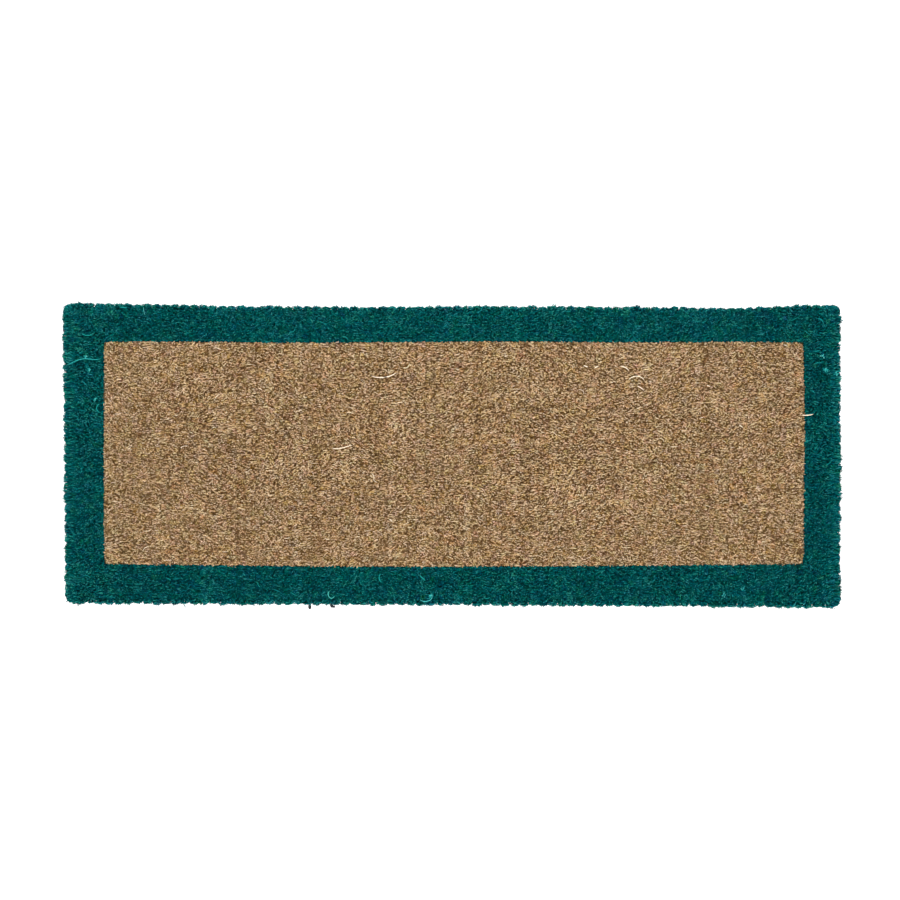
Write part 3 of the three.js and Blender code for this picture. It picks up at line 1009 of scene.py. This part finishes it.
# routes of the largest loose fibres, in millimetres from the mat's middle
PALE_FIELD_FIBRES = [
    [(-126.5, 123), (-116, 120), (-104, 120), (-94, 122.5), (-86, 127)],
    [(-186, 11.5), (-175, 10.5), (-166, 12.5), (-154, 16)],
    [(508, 170), (514, 168.5)],
    [(-97, -98), (-92, -101)],
    [(536, 62), (544, 61.8), (554, 63.5)],
    [(257, 137), (264, 135.5), (271, 130)],
    [(201, 138), (208, 136)],
    [(218, 134.5), (224, 137)],
    [(270, 116), (278, 121), (290, 120), (294, 116)],
    [(283, 107), (289, 104), (294, 100)],
    [(440, 47), (446, 43)],
    [(458, 169.5), (464, 167)],
    [(390, 108), (396, 106)],
]
PALE_BORDER_FIBRES = [
    [(-594, 139), (-577, 145.5), (-562, 148.5), (-548, 147), (-538, 149.5)],
    [(-541, 79), (-546, 74), (-545, 69), (-540, 66)],
    [(-188, -208), (-191, -213), (-187, -219), (-181, -216)],
    [(-110, -181), (-112.5, -188), (-109, -195)],
    [(-50, -184), (-42, -192)],
    [(-51, -220), (-43, -224), (-33, -221), (-33, -211)],
    [(568, 129.5), (573, 133), (579, 129.5)],
    [(587, 124), (591, 129.5), (596, 128)],
    [(-570, 188), (-561, 184), (-552, 186)],
    [(-511, 228), (-505, 227), (-499, 228)],
    [(-474, 228), (-473.5, 222), (-472, 216)],
]
EDGE_STRAYS = [
    [(-414, -223), (-412, -229), (-409, -233.5)],
    [(-308, -224), (-306, -229), (-303, -230.5)],
    [(-522, 226), (-520.5, 231), (-518, 234.5)],
]
SPRIGS = [  # X and Y in millimetres, fibres, their reach in millimetres
    (-563, 151, 7, 3.2),
    (-557.5, 132, 8, 3.0),
    (-549, 86, 6, 3.0),
    (573.5, 131, 8, 3.2),
    (568.5, 152.5, 7, 3.0),
    (590, 125, 6, 3.2),
    (-34, -215, 7, 3.0),
    (416, -214, 6, 3.0),
    (446, -206, 5, 3.2),
]
FIELD_AREA = (X_LEVELS[1:3], Y_LEVELS[1:3] + (FRINGE, -FRINGE), 70)  # X range, Y range, fibres
BORDER_AREAS = [
    (X_LEVELS[[0, 3]], Y_LEVELS[0:2] + (FRINGE, -FRINGE), 26),
    (X_LEVELS[[0, 3]], Y_LEVELS[2:4] + (FRINGE, -FRINGE), 26),
    (X_LEVELS[0:2], Y_LEVELS[1:3], 8),
    (X_LEVELS[2:4], Y_LEVELS[1:3], 8),
]
field_strays = strewn(*FIELD_AREA)
border_strays = [route for area in BORDER_AREAS for route in strewn(*area)]
sprigs = [route for place in SPRIGS for route in sprig(*place)]
field_groups = [  # routes, thickness, range of tones
    (PALE_FIELD_FIBRES, 0.75 * MM, (0.6, 1.0)),
    (field_strays, 0.5 * MM, (0.0, 0.6)),
]
border_groups = [
    (PALE_BORDER_FIBRES, 0.7 * MM, (0.45, 0.8)),
    (border_strays, 0.5 * MM, (0.0, 0.4)),
    (sprigs, 0.72 * MM, (0.3, 0.9)),
]
edge_groups = [(EDGE_STRAYS, 0.8 * MM, (0.05, 0.2))]
add_piece(loose_mesh("loose_fibres_field", field_groups), PALE_NATURAL, "natural_coir")
add_piece(loose_mesh("loose_fibres_border", border_groups), PALE_DYED, "dyed_coir")
add_piece(loose_mesh("loose_fibres_edge", edge_groups), DYED, "dyed_coir")


# ---- two ends of dark yarn that hang out under the front edge ----
YARN_RADIUS = 2.7 * MM
YARN_ENDS = [  # X, Y and Z in millimetres
    [(-219.0, -218, 7), (-219.5, -226, 6), (-220.0, -231.5, 4.2), (-219.6, -237, 3.2)],
    [(-186.0, -218, 7), (-186.5, -226, 6), (-187.0, -231.2, 4.0), (-181.0, -233.5, 3.2)],
]


YARN_STEPS = 14


def yarn_end_path(route):
    """A smooth curve through four places."""
    share = np.linspace(0, 1, YARN_STEPS)
    curves = np.polyfit(np.linspace(0, 1, len(route)), np.array(route) * MM, 3)
    return np.stack([np.polyval(curve, share) for curve in curves.T], axis=-1)


yarn_paths = np.stack([yarn_end_path(route) for route in YARN_ENDS])
yarn_turn = np.broadcast_to(np.linspace(0, 2.5 * math.pi, YARN_STEPS), yarn_paths.shape[:2])
yarn_radii = YARN_RADIUS * np.array([[1.0], [0.85]]) * np.linspace(1.0, 0.8, YARN_STEPS)
yarn_tone = np.array([0.3, 0.35])
mesh = tube_mesh("yarn_ends_front", yarn_paths, yarn_radii, 8, yarn_tone, 1.0, yarn_turn, 0.2)
add_piece(mesh, DARK_YARN, "ground_yarn")


# ---- the stage ----
FLOOR_RADIUS = 30.0
FLOOR_RIM = 5.0
FLOOR_GLOW = 0.97
SKY_STRENGTH = 0.35
LIGHT_SIZE = 0.8
BACK_LIGHT_POWER = 104
FRONT_LIGHT_POWER = 87
PICTURE_WIDTH = 1.3815  # metres across the picture, at the height of the mat's top
PICTURE_MIDDLE = (-0.0037, 0.0084)
LENS = 180  # millimetres, as is the sensor's width
SENSOR = 36


def add_floor():
    """A round white floor whose far rim is turned up, so that no view looks past it."""
    sides = 96
    turn = [2 * math.pi * k / sides for k in range(sides)]
    inner = [(FLOOR_RADIUS * math.cos(t), FLOOR_RADIUS * math.sin(t), 0) for t in turn]
    outer = [(x, y, FLOOR_RIM) for x, y, _ in inner]
    wall = [(k, sides + k, sides + (k + 1) % sides, (k + 1) % sides) for k in range(sides)]
    mesh = bpy.data.meshes.new("floor")
    mesh.from_pydata(inner + outer, [], [tuple(range(sides))] + wall)
    floor = bpy.data.objects.new("floor", mesh)
    bpy.context.scene.collection.objects.link(floor)
    material = bpy.data.materials.new("floor")
    material.use_nodes = True
    shader = material.node_tree.nodes["Principled BSDF"]
    shader.inputs["Base Color"].default_value = (0.5, 0.5, 0.5, 1)
    shader.inputs["Roughness"].default_value = 1
    shader.inputs["Specular IOR Level"].default_value = 0
    shader.inputs["Emission Color"].default_value = (1, 1, 1, 1)
    shader.inputs["Emission Strength"].default_value = FLOOR_GLOW
    mesh.materials.append(material)


def add_light(name, place, power):
    """A square light that faces the middle of the mat."""
    data = bpy.data.lights.new(name, "AREA")
    data.shape = "SQUARE"
    data.size = LIGHT_SIZE
    data.energy = power
    light = bpy.data.objects.new(name, data)
    light.location = place
    light.rotation_euler = (-Vector(place)).to_track_quat("-Z", "Y").to_euler()
    bpy.context.scene.collection.objects.link(light)


def add_sky():
    """Even white light from all around."""
    world = bpy.data.worlds.new("studio")
    world.use_nodes = True
    background = world.node_tree.nodes["Background"]
    background.inputs["Color"].default_value = (1, 1, 1, 1)
    background.inputs["Strength"].default_value = SKY_STRENGTH
    bpy.context.scene.world = world


def add_camera():
    """Straight above the mat, with a long lens."""
    data = bpy.data.cameras.new("camera")
    data.lens = LENS
    data.sensor_width = SENSOR
    data.clip_end = 100
    camera = bpy.data.objects.new("camera", data)
    camera.location = (*PICTURE_MIDDLE, MAT_TOP + PICTURE_WIDTH * LENS / SENSOR)
    bpy.context.scene.collection.objects.link(camera)
    bpy.context.scene.camera = camera


add_floor()
add_light("key_back", (-0.4, 2.3, 2.1), BACK_LIGHT_POWER)
add_light("key_front", (0.4, -2.3, 2.1), FRONT_LIGHT_POWER)
add_sky()
add_camera()
bpy.context.scene.view_settings.view_transform = "Standard"
